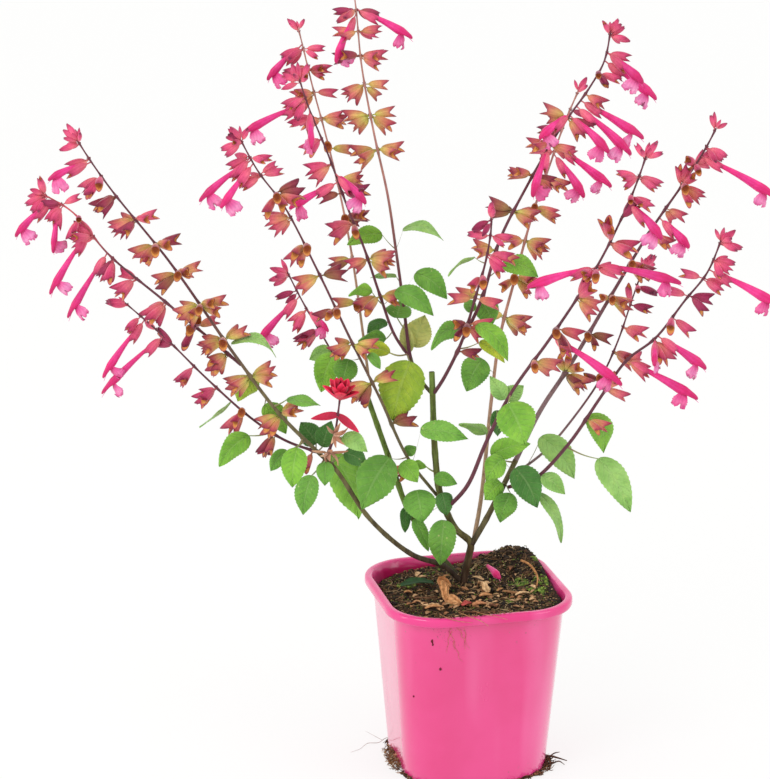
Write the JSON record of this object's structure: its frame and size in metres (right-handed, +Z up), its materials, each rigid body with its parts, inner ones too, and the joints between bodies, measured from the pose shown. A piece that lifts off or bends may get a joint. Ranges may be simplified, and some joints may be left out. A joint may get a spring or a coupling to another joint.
{
  "type": "potted flowering sage",
  "caption": "Potted ornamental sage: woody stems, upright spikes of calyces with magenta tube flowers, toothed green leaves, dark soil, tapered rounded-square pink plastic pot",
  "frame": {"origin": "Centre of the flat underside of the pot", "axes": "+Z up. -Y is the front, the side the viewer sees. +X is to the viewer's right. The pot stands turned 13.5 degrees about +Z from the axes."},
  "size_m": [0.5535, 0.2222, 0.5721],
  "materials": {
    "pot_plastic": "smooth glossy moulded plastic, hot pink",
    "peat": "rough dark peat with bark and root fibres",
    "bark": "thin olive brown bark",
    "green_stem": "thin green bark",
    "shoot": "soft maroon stems, salmon and crimson calyces, satin magenta petals",
    "leaf": "soft matt green with sunk veins"
  },
  "bodies": {
    "root": {"pot": "pot_plastic", "potting_soil": "peat", "crown_stem": "bark", "green_cut_stem": "green_stem", "left_woody_stem": "bark", "right_woody_stem": "bark", "centre_side_arm": "bark", "back_shoot": "shoot", "centre_dark_shoot": "shoot", "centre_pale_shoot": "shoot", "centre_tall_shoot": "shoot", "inner_left_shoot": "shoot", "inner_side_shoot": "shoot", "left_bud_shoot": "shoot", "left_high_shoot": "shoot", "left_low_shoot": "shoot", "left_outer_shoot": "shoot", "middle_short_shoot": "shoot", "middle_tall_shoot": "shoot", "right_back_shoot": "shoot", "right_inner_shoot": "shoot", "right_outer_shoot": "shoot", "right_tall_shoot": "shoot", "leaf_01": "leaf", "leaf_02": "leaf", "leaf_03": "leaf", "leaf_04": "leaf", "leaf_05": "leaf", "leaf_06": "leaf", "leaf_07": "leaf", "leaf_08": "leaf", "leaf_09": "leaf", "leaf_10": "leaf", "leaf_11": "leaf", "leaf_12": "leaf", "leaf_13": "leaf", "leaf_14": "leaf", "leaf_15": "leaf", "leaf_16": "leaf", "leaf_17": "leaf", "leaf_18": "leaf", "leaf_19": "leaf", "leaf_20": "leaf", "leaf_21": "leaf", "leaf_22": "leaf", "leaf_23": "leaf", "leaf_24": "leaf", "leaf_25": "leaf", "leaf_26": "leaf", "leaf_27": "leaf", "leaf_28": "leaf", "leaf_29": "leaf", "leaf_30": "leaf", "leaf_31": "leaf", "leaf_32": "leaf", "leaf_33": "leaf", "leaf_34": "leaf", "leaf_35": "leaf", "leaf_36": "leaf"}
  },
  "joints": []
}
